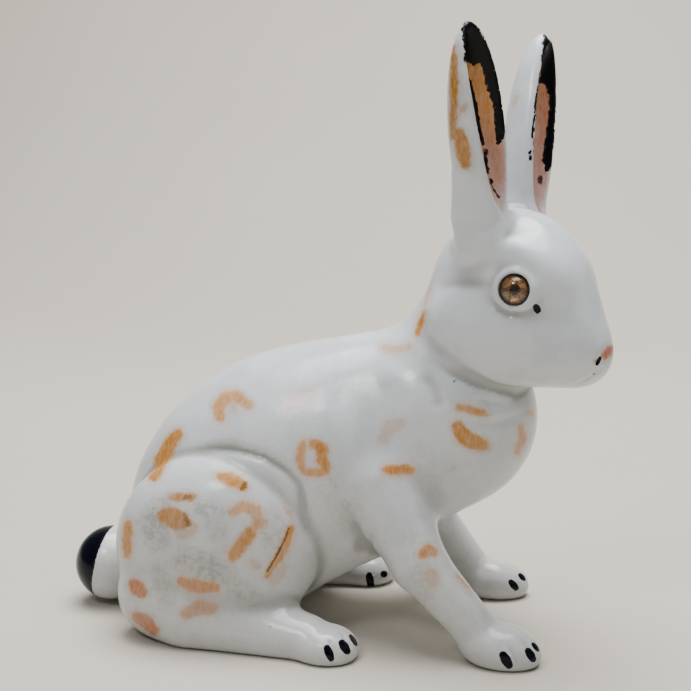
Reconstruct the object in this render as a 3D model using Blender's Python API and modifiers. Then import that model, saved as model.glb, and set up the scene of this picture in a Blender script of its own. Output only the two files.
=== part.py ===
"""A seated rabbit in tin-glazed earthenware, with two glass eyes set in sockets in the head.

The figure is modelled as a potter builds it up in clay: named lumps, each an egg or a tapered roll,
worked into each other with a softness of their own. The lumps are Blender primitives, fused by a
voxel Remesh, and the fused skin is then pressed onto the blended form. The rabbit faces +X, its left
side is +Y, and its four paws stand on Z = 0.

Sizes in metres are the named values below. The figure's pose and proportions are shares of its
height: lump tables are in hundredths of it, called parts here.
"""

import math

import bpy
import numpy as np
from mathutils import Matrix, Vector

# Driving dimensions, in metres.
FIGURE_HEIGHT = 0.290
EYE_DIAMETER = 0.014
EYE_DOME_HEIGHT = 0.0040
EYE_EDGE_THICKNESS = 0.0022
EYE_CLEARANCE = 0.0003
EYE_STANDS_PROUD = 0.0030

# Fineness of the clay skin, in metres, and the triangles that the finished skin keeps.
CLAY_VOXEL = 0.0020
SKIN_TRIANGLES = 8400
EYE_SEGMENTS = 24
EYE_ARC_STEPS = 5

# One part is a hundredth of the figure's height.
PARTS_PER_HEIGHT = 100.0
PART = FIGURE_HEIGHT / PARTS_PER_HEIGHT

# The head is turned to the rabbit's right, about a pivot over the neck.
HEAD_PIVOT = np.array((26.0, -3.5, 57.0))
HEAD_TURN = -22.0

# Where the axis of an eye leaves the middle of the head, forward of and above the pivot, and how
# far it is swung forward from straight sideways and tipped up, in degrees.
EYE_FORWARD = 5.4
EYE_UP = 1.8
EYE_SWING = 10.0
EYE_TIP_UP = 4.0

# The mound of the eyelids: its radii and how deep its middle is buried, in radii of the eye.
LID_RADII = (1.62, 1.46, 0.68)
LID_BURY = 0.33
LID_SOFT = 1.0

# How far along its axis an eye's seat is looked for, and how closely, in parts.
EYE_SEARCH = 16.0
EYE_SEARCH_STEP = 1e-5

# How far the cutter of an eye socket reaches out over the eye's rim, in heights of the eye's dome.
SOCKET_REACH_DOMES = 2.0

# The balls that the lumps are drawn as: their fineness, and how many a roll takes.
BALL_SEGMENTS = 32
BALL_RINGS = 16
ROLL_STATIONS = 7

# How the clay skin is pressed onto the form: rounds, the longest step in parts, and the least slope
# of the form that a step reckons with.
RELAX_ROUNDS = 4
PRESS_ROUNDS = 4
PRESS_STEP = 2.0
LEAST_SLOPE = 0.3

# The block that takes the paws off flat: its width and depth, in heights of the figure.
FLOOR_BLOCK_WIDTH = 2.0
FLOOR_BLOCK_DEPTH = 0.2

# Colours are linear.
GLAZE_COLOUR = (0.78, 0.80, 0.78)
GLAZE_ROUGHNESS = 0.16
GLASS_COLOUR = (0.36, 0.17, 0.05)
GLASS_ROUGHNESS = 0.04

# How much the edge of a scooped hollow is rounded off.
HOLLOW_EDGE_SOFT = 2.0

# How far one front paw stands ahead of its mean place, and the other behind it, and how much of
# that its elbow takes part in.
PAW_STAGGER = 1.75
ELBOW_SHARE = 0.6


def turned(pitch=0.0, turn=0.0, roll=0.0):
    """Axes, as matrix columns, of something pitched nose up, turned to the left and rolled, in degrees."""
    spin = Matrix.Rotation(math.radians(turn), 3, "Z")
    spin @= Matrix.Rotation(math.radians(-pitch), 3, "Y")
    spin @= Matrix.Rotation(math.radians(roll), 3, "X")
    return np.array(spin)


HEAD_AXES = turned(turn=HEAD_TURN)
MIRROR = np.array((1.0, -1.0, 1.0))


def egg(at, radii, pitch=0.0, turn=0.0, roll=0.0, soft=4.0):
    """An egg of clay: its centre, its three radii, its tilt and how softly it is worked in."""
    return {
        "kind": "egg",
        "pared": False,
        "at": np.array(at, float),
        "radii": np.array(radii, float),
        "axes": turned(pitch, turn, roll),
        "soft": soft,
    }


def rolled(start, end, start_radius, end_radius, soft=4.0):
    """A tapered roll of clay between two points."""
    return {
        "kind": "roll",
        "pared": False,
        "start": np.array(start, float),
        "end": np.array(end, float),
        "radii": (start_radius, end_radius),
        "soft": soft,
    }


def pared(lump):
    """A lump that is pared away from those before it, instead of being worked in."""
    return dict(lump, pared=True)


def mirrored(lump):
    """The same lump on the other side of the middle plane Y = 0."""
    other = dict(lump)
    if lump["kind"] == "egg":
        other["at"] = lump["at"] * MIRROR
        other["axes"] = np.diag(MIRROR) @ lump["axes"] @ np.diag(MIRROR)
    else:
        other["start"] = lump["start"] * MIRROR
        other["end"] = lump["end"] * MIRROR
    return other


def both_sides(lumps):
    """Each lump and its mirror image."""
    return [side for lump in lumps for side in (lump, mirrored(lump))]


def on_head(lump):
    """A lump given from the head's pivot, in the turned head's own axes."""
    placed = dict(lump)
    if lump["kind"] == "egg":
        placed["at"] = HEAD_PIVOT + HEAD_AXES @ lump["at"]
        placed["axes"] = HEAD_AXES @ lump["axes"]
    else:
        placed["start"] = HEAD_PIVOT + HEAD_AXES @ lump["start"]
        placed["end"] = HEAD_PIVOT + HEAD_AXES @ lump["end"]
    return placed


def trunk_lumps():
    """The trunk, from the rump forward to the neck, with its belly drawn up before the haunches."""
    return [
        egg((-8.8, 0, 24.9), (29.8, 16.5, 22.0), pitch=24),
        egg((-23.5, 0, 16.8), (14.0, 13.5, 14.3), soft=6),
        egg((17.0, 0, 36.5), (15.5, 12.5, 15.5), soft=10),
        egg((4.0, 0, 41.0), (14.0, 9.0, 8.5), pitch=10, soft=5),
        rolled((17.0, 0, 43.0), (24.0, -2.0, 57.0), 10.5, 9.0, soft=6),
        pared(egg((6.0, 0, 2.7), (16.0, 24.0, 9.0), pitch=30, soft=5)),
    ]


def tail_lumps():
    """The ball of the tail on its short root."""
    return [
        rolled((-33.0, 0, 8.0), (-40.0, 0, 7.3), 7.0, 5.9),
        egg((-42.8, -0.3, 7.0), (6.6, 6.7, 6.6), soft=1.0),
    ]


def hind_leg_lumps():
    """The folded haunch and the long hind foot of the rabbit's right leg."""
    return [
        egg((-19.1, -11.8, 16.2), (18.1, 9.6, 15.3), pitch=12),
        egg((-27.3, -13.5, 7.0), (9.0, 7.5, 7.8), soft=3),
        rolled((-22.0, -15.8, 3.4), (-3.0, -18.0, 2.3), 5.2, 4.1, soft=7),
        egg((0.3, -18.7, 1.7), (5.5, 4.8, 3.6), turn=-8, soft=1.5),
    ]


def front_leg_lumps(stagger):
    """The rabbit's right front leg, whose paw stands forward by the stagger."""
    elbow = (13.7 + ELBOW_SHARE * stagger, -14.5, 15.2)
    wrist = (20.8 + stagger, -15.3, 6.9)
    return [
        egg((11.0, -6.2, 31.0), (9.5, 6.2, 12.5), pitch=-15),
        rolled((8.0, -9.0, 26.0), elbow, 7.3, 4.3, soft=5),
        rolled(elbow, wrist, 4.3, 3.6, soft=2.5),
        egg((26.2 + stagger, -15.7, 2.5), (6.7, 4.6, 4.1), pitch=-9, turn=-4, soft=3.5),
    ]


def head_lumps():
    """Skull, muzzle, nose, bridge, cheeks and brows, from the head's pivot."""
    lumps = [
        egg((1.8, 0, 1.0), (13.3, 9.4, 13.6), pitch=-12),
        egg((7.6, 0, -6.0), (11.2, 6.6, 7.3), pitch=-14, soft=6),
        egg((13.6, 0, -8.0), (5.3, 4.1, 4.8), pitch=-25, soft=3),
        egg((10.6, 0, -0.2), (9.5, 5.2, 5.3), pitch=-62, soft=6),
    ]
    lumps += both_sides(
        [
            egg((2.0, -4.7, -5.4), (12.0, 5.6, 7.2), pitch=-15, turn=12, soft=4),
            egg((7.2, -5.3, 4.8), (6.3, 3.6, 4.2), pitch=-20, turn=12, soft=5),
        ]
    )
    return [on_head(lump) for lump in lumps]


def ear_lumps():
    """The two upright ears, from the head's pivot."""
    ear = [
        egg((0.8, -9.7, 25.9), (4.7, 4.4, 17.0), roll=11.5),
        rolled((-0.6, -7.4, 14.0), (-0.1, -8.4, 19.5), 3.8, 3.9, soft=0.8),
        egg((0.0, -6.9, 11.4), (4.1, 3.5, 5.8), roll=8, soft=3),
    ]
    return [on_head(lump) for lump in both_sides(ear)]


def ear_hollows():
    """The long scoop down the front of each ear, the right one turned outward and opened to its tip."""
    right = egg((4.1, -10.6, 28.0), (3.6, 3.2, 15.8), pitch=7, roll=12)
    left = egg((4.1, 9.9, 27.8), (3.8, 3.3, 14.6), roll=-11.5)
    return [on_head(right), on_head(left)]


def lump_groups():
    """Groups of lumps that are worked up alone and then pressed together, with the softness of each join."""
    return [
        (1.0, trunk_lumps()),
        (2.5, tail_lumps()),
        (1.2, hind_leg_lumps()),
        (1.2, [mirrored(lump) for lump in hind_leg_lumps()]),
        (5.0, front_leg_lumps(PAW_STAGGER)),
        (5.0, [mirrored(lump) for lump in front_leg_lumps(-PAW_STAGGER)]),
        (2.0, head_lumps()),
        (4.0, ear_lumps()),
    ]


def distance_to(lump, points):
    """About how far each point is outside the lump, below zero inside it."""
    if lump["kind"] == "egg":
        local = (points - lump["at"]) @ lump["axes"]
        reach = np.linalg.norm(local / lump["radii"], axis=1)
        slope = np.linalg.norm(local / lump["radii"] ** 2, axis=1)
        return reach * (reach - 1.0) / np.maximum(slope, 1e-6)
    along = lump["end"] - lump["start"]
    share = np.clip((points - lump["start"]) @ along / (along @ along), 0.0, 1.0)
    nearest = lump["start"] + share[:, None] * along
    start_radius, end_radius = lump["radii"]
    radius = start_radius + (end_radius - start_radius) * share
    return np.linalg.norm(points - nearest, axis=1) - radius


def worked_together(first, second, soft):
    """The smaller of two distances, rounded off where they differ by less than the softness."""
    near = np.maximum(soft - np.abs(first - second), 0.0) / soft
    return np.minimum(first, second) - near**3 * soft / 6.0


def scooped_out(whole, hollow, soft):
    """The outside of a hollow cut into the whole, with its edge rounded off."""
    return -worked_together(-whole, hollow, soft)


def form(points, groups, hollows):
    """About how far each point is outside the whole blended figure, in parts."""
    whole = None
    for join_soft, lumps in groups:
        group = distance_to(lumps[0], points)
        for lump in lumps[1:]:
            blend = scooped_out if lump["pared"] else worked_together
            group = blend(group, distance_to(lump, points), lump["soft"])
        whole = group if whole is None else worked_together(whole, group, join_soft)
    for hollow in hollows:
        whole = scooped_out(whole, distance_to(hollow, points), HOLLOW_EDGE_SOFT)
    return whole


def slope_of(points, groups, hollows, step=0.05):
    """The gradient of the form, by central differences."""
    sides = []
    for axis in range(3):
        shift = np.zeros(3)
        shift[axis] = step
        ahead = form(points + shift, groups, hollows)
        behind = form(points - shift, groups, hollows)
        sides.append((ahead - behind) / (2 * step))
    return np.stack(sides, axis=1)


def eye_seats(groups):
    """For each side: where the eye's axis leaves the skin, in parts, and the eye's axes as matrix columns."""
    seats = {}
    for side, sign in (("right", -1.0), ("left", 1.0)):
        swing = math.radians(EYE_SWING)
        tip = math.radians(EYE_TIP_UP)
        outward = np.array((math.sin(swing) * math.cos(tip), sign * math.cos(swing) * math.cos(tip), math.sin(tip)))
        outward = HEAD_AXES @ outward
        start = HEAD_PIVOT + HEAD_AXES @ np.array((EYE_FORWARD, 0.0, EYE_UP))
        inside, outside = 0.0, EYE_SEARCH
        while outside - inside > EYE_SEARCH_STEP:
            middle = 0.5 * (inside + outside)
            if form((start + middle * outward)[None], groups, [])[0] < 0.0:
                inside = middle
            else:
                outside = middle
        across = np.cross(np.array((0.0, 0.0, 1.0)), outward)
        across /= np.linalg.norm(across)
        axes = np.stack([across, np.cross(outward, across), outward], axis=1)
        seats[side] = (start + inside * outward, axes)
    return seats


def eyelid_lumps(seats):
    """The low mound of clay round each eye, which follows the eye's own diameter."""
    radius = EYE_DIAMETER / 2 / PART
    lids = []
    for place, axes in seats.values():
        lid = egg(place - axes[:, 2] * LID_BURY * radius, radius * np.array(LID_RADII), soft=0.9)
        lid["axes"] = axes
        lids.append(lid)
    return lids


def add_spheres(lumps, name):
    """Each lump as a Blender sphere, or a row of them along a roll, joined into one object."""
    made = []
    for lump in lumps:
        if lump["kind"] == "egg":
            stations = [(lump["at"], lump["radii"], lump["axes"])]
        else:
            stations = []
            for share in np.linspace(0.0, 1.0, ROLL_STATIONS):
                at = lump["start"] + share * (lump["end"] - lump["start"])
                radius = lump["radii"][0] + share * (lump["radii"][1] - lump["radii"][0])
                stations.append((at, np.full(3, radius), np.eye(3)))
        for at, radii, axes in stations:
            bpy.ops.mesh.primitive_uv_sphere_add(segments=BALL_SEGMENTS, ring_count=BALL_RINGS, radius=1.0)
            ball = bpy.context.object
            place = Matrix(axes @ np.diag(radii)).to_4x4()
            place.translation = Vector(at)
            ball.data.transform(place)
            if place.determinant() < 0:
                ball.data.flip_normals()
            made.append(ball)
    bpy.ops.object.select_all(action="DESELECT")
    for ball in made:
        ball.select_set(True)
    whole = made[0]
    bpy.context.view_layer.objects.active = whole
    bpy.ops.object.join()
    whole.name = name
    return whole


def bake(obj):
    """Replaces the object's mesh by the one that its modifiers make."""
    graph = bpy.context.evaluated_depsgraph_get()
    mesh = bpy.data.meshes.new_from_object(obj.evaluated_get(graph))
    obj.modifiers.clear()
    obj.data = mesh


def add_cut(obj, cutter):
    """A live Boolean that takes the cutter out of the object."""
    cut = obj.modifiers.new("cut_" + cutter.name, "BOOLEAN")
    cut.operation = "DIFFERENCE"
    cut.solver = "EXACT"
    cut.object = cutter


def fuse(obj, voxel):
    """One closed skin round all that the object holds."""
    fusing = obj.modifiers.new("fuse", "REMESH")
    fusing.mode = "VOXEL"
    fusing.voxel_size = voxel
    bake(obj)


def relax(obj):
    """Evens out the spacing of the skin's points."""
    easing = obj.modifiers.new("relax", "SMOOTH")
    easing.factor = 0.5
    easing.iterations = RELAX_ROUNDS
    bake(obj)


def press_onto_form(obj, groups, hollows, rounds):
    """Moves the skin's points along the form's slope until they lie on it."""
    points = np.empty(len(obj.data.vertices) * 3)
    obj.data.vertices.foreach_get("co", points)
    points = points.reshape(-1, 3)
    for _ in range(rounds):
        slope = slope_of(points, groups, hollows)
        gap = form(points, groups, hollows) / np.maximum((slope**2).sum(1), LEAST_SLOPE**2)
        points -= slope * np.clip(gap, -PRESS_STEP, PRESS_STEP)[:, None]
    obj.data.vertices.foreach_set("co", points.ravel())
    obj.data.update()


def clay_figure(groups, hollows):
    """The whole figure as one skin of clay, in parts, with its ears hollowed."""
    clay = add_spheres([lump for _, lumps in groups for lump in lumps if not lump["pared"]], "rabbit")
    fuse(clay, CLAY_VOXEL / PART)
    press_onto_form(clay, groups, [], PRESS_ROUNDS)
    scoop = add_spheres(hollows, "scoop")
    add_cut(clay, scoop)
    bake(clay)
    bpy.data.objects.remove(scoop, do_unlink=True)
    fuse(clay, CLAY_VOXEL / PART)
    for _ in range(2):
        relax(clay)
        press_onto_form(clay, groups, hollows, PRESS_ROUNDS)
    return clay


def glass_eye(name, place, axes):
    """A glass cabochon, domed outward along the last of its axes, turned from its half profile."""
    radius = EYE_DIAMETER / 2
    back = -EYE_EDGE_THICKNESS
    ball = (radius**2 + EYE_DOME_HEIGHT**2) / (2 * EYE_DOME_HEIGHT)
    profile = [(0.0, back), (radius, back)]
    sweep = math.asin(radius / ball)
    for step in range(EYE_ARC_STEPS + 1):
        angle = sweep * (1 - step / EYE_ARC_STEPS)
        profile.append((ball * math.sin(angle), ball * math.cos(angle) - ball + EYE_DOME_HEIGHT))
    mesh = bpy.data.meshes.new(name)
    edges = [(index, index + 1) for index in range(len(profile) - 1)]
    mesh.from_pydata([(across, 0.0, up) for across, up in profile], edges, [])
    eye = bpy.data.objects.new(name, mesh)
    bpy.context.scene.collection.objects.link(eye)
    lathe = eye.modifiers.new("lathe", "SCREW")
    lathe.steps = EYE_SEGMENTS
    lathe.render_steps = EYE_SEGMENTS
    lathe.use_merge_vertices = True
    lathe.merge_threshold = 1e-6
    lathe.use_normal_calculate = True
    bake(eye)
    eye.data.transform(seat_matrix(place, axes))
    return eye


def seat_matrix(place, axes):
    """Where an eye sits: its rim is below the skin, and its crown stands proud of it."""
    matrix = Matrix(axes).to_4x4()
    rim = EYE_STANDS_PROUD - EYE_DOME_HEIGHT
    matrix.translation = Vector(place * PART + axes[:, 2] * rim)
    return matrix


def eye_socket(name, place, axes):
    """The round pocket that holds a glass eye with its clearance all round."""
    floor = EYE_EDGE_THICKNESS + EYE_CLEARANCE
    reach = SOCKET_REACH_DOMES * EYE_DOME_HEIGHT
    bpy.ops.mesh.primitive_cylinder_add(
        vertices=EYE_SEGMENTS,
        radius=EYE_DIAMETER / 2 + EYE_CLEARANCE,
        depth=floor + reach,
    )
    socket = bpy.context.object
    socket.name = name
    socket.data.transform(Matrix.Translation((0.0, 0.0, (reach - floor) / 2)))
    socket.data.transform(seat_matrix(place, axes))
    return socket


def floor_block():
    """A block below the floor, which takes the undersides of the paws off flat."""
    bpy.ops.mesh.primitive_cube_add(size=1.0)
    block = bpy.context.object
    block.name = "floor"
    width = FLOOR_BLOCK_WIDTH * FIGURE_HEIGHT
    depth = FLOOR_BLOCK_DEPTH * FIGURE_HEIGHT
    block.data.transform(Matrix.Diagonal((width, width, depth, 1.0)))
    block.data.transform(Matrix.Translation((0.0, 0.0, -depth / 2)))
    return block


def material(name, colour, roughness, metallic):
    """A plain Principled material."""
    made = bpy.data.materials.new(name)
    made.use_nodes = True
    shader = made.node_tree.nodes["Principled BSDF"]
    shader.inputs["Base Color"].default_value = (*colour, 1.0)
    shader.inputs["Roughness"].default_value = roughness
    shader.inputs["Metallic"].default_value = metallic
    made.diffuse_color = (*colour, 1.0)
    return made


def collection(name):
    made = bpy.data.collections.new(name)
    bpy.context.scene.collection.children.link(made)
    return made


def move_to(target, obj):
    for holder in list(obj.users_collection):
        holder.objects.unlink(obj)
    target.objects.link(obj)


def centre_over_origin(figure, objects):
    """Moves all the objects together until the figure's box is centred over the origin."""
    graph = bpy.context.evaluated_depsgraph_get()
    shown = figure.evaluated_get(graph).data
    points = np.empty(len(shown.vertices) * 3)
    shown.vertices.foreach_get("co", points)
    points = points.reshape(-1, 3)
    middle = (points.min(0) + points.max(0)) / 2
    for obj in objects:
        obj.data.transform(Matrix.Translation((-middle[0], -middle[1], 0.0)))


def main():
    for obj in list(bpy.data.objects):
        bpy.data.objects.remove(obj, do_unlink=True)
    groups = lump_groups()
    seats = eye_seats(groups)
    groups.append((LID_SOFT, eyelid_lumps(seats)))
    rabbit = clay_figure(groups, ear_hollows())
    rabbit.data.transform(Matrix.Scale(PART, 4))

    thinning = rabbit.modifiers.new("thin", "DECIMATE")
    triangles = sum(len(face.vertices) - 2 for face in rabbit.data.polygons)
    thinning.ratio = SKIN_TRIANGLES / triangles
    cutters = [floor_block()]
    eyes = []
    for side, (place, axes) in seats.items():
        cutters.append(eye_socket("socket_" + side, place, axes))
        eyes.append(glass_eye("eye_" + side, place, axes))
    for cutter in cutters:
        add_cut(rabbit, cutter)
    centre_over_origin(rabbit, [rabbit, *eyes, *cutters])

    glaze = material("glazed_earthenware", GLAZE_COLOUR, GLAZE_ROUGHNESS, 0.0)
    rabbit.data.materials.clear()
    rabbit.data.materials.append(glaze)
    for eye in eyes:
        eye.data.materials.append(material(eye.name + "_glass", GLASS_COLOUR, GLASS_ROUGHNESS, 0.0))
    kept = collection("majolica_rabbit")
    for obj in [rabbit, *eyes]:
        move_to(kept, obj)
    hidden = collection("cutters")
    for cutter in cutters:
        move_to(hidden, cutter)
        cutter.hide_render = True
        cutter.display_type = "WIRE"


main()
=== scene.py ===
"""Looks of a seated rabbit in tin-glazed earthenware with glass eyes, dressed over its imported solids.

The rabbit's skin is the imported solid's, drawn finer: an even net of points is pressed onto the same
blended lumps of clay that the solid was shaped from, and the folds, lids, nostrils and toes that a
modeller presses in last are worked into it. The brush decoration is kept on the skin's points as
distances to the edge of the paint, so that the glaze material can break those edges up.

Lengths are metres; the lumps are in parts, hundredths of the figure's height, as in the solid.
"""

import math

import bmesh
import bpy
import numpy as np
from mathutils import Matrix, Vector
from mathutils.bvhtree import BVHTree


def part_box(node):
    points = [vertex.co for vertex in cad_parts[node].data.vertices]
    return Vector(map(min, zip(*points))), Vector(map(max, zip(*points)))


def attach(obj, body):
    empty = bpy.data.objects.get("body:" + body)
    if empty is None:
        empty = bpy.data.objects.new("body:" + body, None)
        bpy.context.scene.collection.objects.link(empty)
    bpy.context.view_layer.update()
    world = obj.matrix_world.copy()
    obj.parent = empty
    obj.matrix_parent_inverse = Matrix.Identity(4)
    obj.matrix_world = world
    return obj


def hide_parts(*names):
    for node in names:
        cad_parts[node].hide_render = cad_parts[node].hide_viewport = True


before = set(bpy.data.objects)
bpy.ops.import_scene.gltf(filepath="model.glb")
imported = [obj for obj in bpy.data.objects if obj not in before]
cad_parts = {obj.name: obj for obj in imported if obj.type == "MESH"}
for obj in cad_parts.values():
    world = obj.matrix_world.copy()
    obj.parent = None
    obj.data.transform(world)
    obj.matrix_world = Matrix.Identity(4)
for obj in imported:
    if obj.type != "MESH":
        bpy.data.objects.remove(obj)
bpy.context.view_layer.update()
BODY = "root"

# The figure, as in the solid.
FIGURE_HEIGHT = 0.290
PART = FIGURE_HEIGHT / 100.0
MM = 0.001 / PART
HEAD_PIVOT = np.array((26.0, -3.5, 57.0))
HEAD_TURN = -22.0
EYE_FORWARD = 5.4
EYE_UP = 1.8
EYE_SWING = 10.0
EYE_TIP_UP = 4.0
EYE_DIAMETER = 0.014
EYE_DOME_HEIGHT = 0.0040
EYE_EDGE_THICKNESS = 0.0022
EYE_CLEARANCE = 0.0003
EYE_STANDS_PROUD = 0.0030
LID_RADII = (1.62, 1.46, 0.68)
LID_BURY = 0.33
LID_SOFT = 1.0
PAW_STAGGER = 1.75
HOLLOW_EDGE_SOFT = 2.0

# The tail's end in parts, by which the lumps are lined up with the solid's box.
TAIL_END = -49.4
SHIFT = np.array((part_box("rabbit")[0][0] - TAIL_END * PART, 0.0, 0.0))

# How softly the edges of the eye sockets and of the soles are rounded, and the mound round an eye is
# worked in, in parts.
SOCKET_EDGE_SOFT = 0.5
SOLE_EDGE_SOFT = 1.0
LID_MOUND_SOFT = 0.9

# How far the elbow moves for each part that the paw stands forward.
ELBOW_FOLLOWS = 0.6

# How far from the head's middle the skin is looked for along an eye's axis, in parts, and in how many
# places.
SEAT_REACH = 16.0
SEAT_PLACES = 3201

# The press of points onto the clay: the step of its slope, the least slope squared that it divides by
# and the longest move, in parts.
SLOPE_STEP = 0.04
LEAST_SLOPE = 0.2
LONGEST_MOVE = 1.0

# The rings round an eye: the radius in radii of the eye, the height and the half width in mm, and how
# much of it is left on the side towards the nose.
LID_RINGS = ((1.22, 0.16, 1.2, 0.7), (1.54, -0.55, 1.6, 0.1))

# The direction in which a lid's rings run out: forward and a little up.
LID_FORWARD = np.array((0.94, 0.34))

# The spacing of the skin's points, how far round an eye, nostril or toe it is halved, and how many
# times the whole net and then the finer one are evened out and pressed.
SKIN_SPACING = 0.00156
FINE_REACH = 0.013
EVEN_ROUNDS = 3
FINE_EVEN_ROUNDS = 2
PRESS_ROUNDS = 3

# Where else it is halved, in parts: the nose, in the head's axes, the toes and the haunch's scratch, in
# the body's, and places along each ear's hollow, in lengths of it.
NOSE = (16.5, 0.0, -9.5)
TOES = ((2.5, -19.5, 2.5), (30.0, -16.5, 3.0))
SCRATCH = (-7.0, -20.0, 17.8)
ALONG_EAR = (-0.8, -0.45, -0.1, 0.25, 0.6, 0.95)

# The photograph's camera, in the lumps' frame: metres, degrees and pixels.
IMAGE = 691
CAMERA_AZIMUTH = 11.0
CAMERA_DISTANCE = 0.600
CAMERA_HEIGHT = 0.230
AIM_HEIGHT = 0.1387
LENS_PIXELS = 1232.3
SENSOR_MM = 36.0


# The clay.


def turned(pitch=0.0, turn=0.0, roll=0.0):
    """Axes, as matrix columns, of something pitched nose up, turned to the left and rolled, in degrees."""
    spin = Matrix.Rotation(math.radians(turn), 3, "Z")
    spin @= Matrix.Rotation(math.radians(-pitch), 3, "Y")
    spin @= Matrix.Rotation(math.radians(roll), 3, "X")
    return np.array(spin)


HEAD_AXES = turned(turn=HEAD_TURN)
MIRROR = np.array((1.0, -1.0, 1.0))


def egg(at, radii, pitch=0.0, turn=0.0, roll=0.0, soft=4.0):
    """An egg of clay: its centre, its three radii, its tilt and how softly it is worked in."""
    return {
        "kind": "egg",
        "pared": False,
        "at": np.array(at, float),
        "radii": np.array(radii, float),
        "axes": turned(pitch, turn, roll),
        "soft": soft,
    }


def rolled(start, end, start_radius, end_radius, soft=4.0):
    """A tapered roll of clay between two points."""
    return {
        "kind": "roll",
        "pared": False,
        "start": np.array(start, float),
        "end": np.array(end, float),
        "radii": (start_radius, end_radius),
        "soft": soft,
    }


def pared(lump):
    """A lump that is pared away from those before it, instead of being worked in."""
    return dict(lump, pared=True)


def mirrored(lump):
    """The same lump on the other side of the middle plane Y = 0."""
    other = dict(lump)
    if lump["kind"] == "egg":
        other["at"] = lump["at"] * MIRROR
        other["axes"] = np.diag(MIRROR) @ lump["axes"] @ np.diag(MIRROR)
    else:
        other["start"] = lump["start"] * MIRROR
        other["end"] = lump["end"] * MIRROR
    return other


def both_sides(lumps):
    """Each lump and its mirror image."""
    return [side for lump in lumps for side in (lump, mirrored(lump))]


def on_head(lump):
    """A lump given from the head's pivot, in the turned head's own axes."""
    placed = dict(lump)
    if lump["kind"] == "egg":
        placed["at"] = HEAD_PIVOT + HEAD_AXES @ lump["at"]
        placed["axes"] = HEAD_AXES @ lump["axes"]
    else:
        placed["start"] = HEAD_PIVOT + HEAD_AXES @ lump["start"]
        placed["end"] = HEAD_PIVOT + HEAD_AXES @ lump["end"]
    return placed


def trunk_lumps():
    """The trunk, from the rump forward to the neck, with its belly drawn up before the haunches."""
    return [
        egg((-8.8, 0, 24.9), (29.8, 16.5, 22.0), pitch=24),
        egg((-23.5, 0, 16.8), (14.0, 13.5, 14.3), soft=6),
        egg((17.0, 0, 36.5), (15.5, 12.5, 15.5), soft=10),
        egg((4.0, 0, 41.0), (14.0, 9.0, 8.5), pitch=10, soft=5),
        rolled((17.0, 0, 43.0), (24.0, -2.0, 57.0), 10.5, 9.0, soft=6),
        pared(egg((6.0, 0, 2.7), (16.0, 24.0, 9.0), pitch=30, soft=5)),
    ]


def tail_lumps():
    """The ball of the tail on its short root."""
    return [
        rolled((-33.0, 0, 8.0), (-40.0, 0, 7.3), 7.0, 5.9),
        egg((-42.8, -0.3, 7.0), (6.6, 6.7, 6.6), soft=1.0),
    ]


def hind_leg_lumps():
    """The folded haunch and the long hind foot of the rabbit's right leg."""
    return [
        egg((-19.1, -11.8, 16.2), (18.1, 9.6, 15.3), pitch=12),
        egg((-27.3, -13.5, 7.0), (9.0, 7.5, 7.8), soft=3),
        rolled((-22.0, -15.8, 3.4), (-3.0, -18.0, 2.3), 5.2, 4.1, soft=7),
        egg((0.3, -18.7, 1.7), (5.5, 4.8, 3.6), turn=-8, soft=1.5),
    ]


def front_leg_lumps(stagger):
    """The rabbit's right front leg, whose paw stands forward by the stagger."""
    elbow = (13.7 + ELBOW_FOLLOWS * stagger, -14.5, 15.2)
    wrist = (20.8 + stagger, -15.3, 6.9)
    return [
        egg((11.0, -6.2, 31.0), (9.5, 6.2, 12.5), pitch=-15),
        rolled((8.0, -9.0, 26.0), elbow, 7.3, 4.3, soft=5),
        rolled(elbow, wrist, 4.3, 3.6, soft=2.5),
        egg((26.2 + stagger, -15.7, 2.5), (6.7, 4.6, 4.1), pitch=-9, turn=-4, soft=3.5),
    ]


def head_lumps():
    """Skull, muzzle, nose, bridge, cheeks and brows, from the head's pivot."""
    lumps = [
        egg((1.8, 0, 1.0), (13.3, 9.4, 13.6), pitch=-12),
        egg((7.6, 0, -6.0), (11.2, 6.6, 7.3), pitch=-14, soft=6),
        egg((13.6, 0, -8.0), (5.3, 4.1, 4.8), pitch=-25, soft=3),
        egg((10.6, 0, -0.2), (9.5, 5.2, 5.3), pitch=-62, soft=6),
    ]
    lumps += both_sides(
        [
            egg((2.0, -4.7, -5.4), (12.0, 5.6, 7.2), pitch=-15, turn=12, soft=4),
            egg((7.2, -5.3, 4.8), (6.3, 3.6, 4.2), pitch=-20, turn=12, soft=5),
        ]
    )
    return [on_head(lump) for lump in lumps]


def ear_lumps():
    """The two upright ears, from the head's pivot."""
    ear = [
        egg((0.8, -9.7, 25.9), (4.7, 4.4, 17.0), roll=11.5),
        rolled((-0.6, -7.4, 14.0), (-0.1, -8.4, 19.5), 3.8, 3.9, soft=0.8),
        egg((0.0, -6.9, 11.4), (4.1, 3.5, 5.8), roll=8, soft=3),
    ]
    return [on_head(lump) for lump in both_sides(ear)]


def ear_hollows():
    """The long scoop down the front of each ear, the right one turned outward and opened to its tip."""
    right = egg((4.1, -10.6, 28.0), (3.6, 3.2, 15.8), pitch=7, roll=12)
    left = egg((4.1, 9.9, 27.8), (3.8, 3.3, 14.6), roll=-11.5)
    return [on_head(right), on_head(left)]


def lump_groups():
    """Groups of lumps that are worked up alone and then pressed together, with the softness of each join."""
    return [
        (1.0, trunk_lumps()),
        (2.5, tail_lumps()),
        (1.2, hind_leg_lumps()),
        (1.2, [mirrored(lump) for lump in hind_leg_lumps()]),
        (5.0, front_leg_lumps(PAW_STAGGER)),
        (5.0, [mirrored(lump) for lump in front_leg_lumps(-PAW_STAGGER)]),
        (2.0, head_lumps()),
        (4.0, ear_lumps()),
    ]


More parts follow.
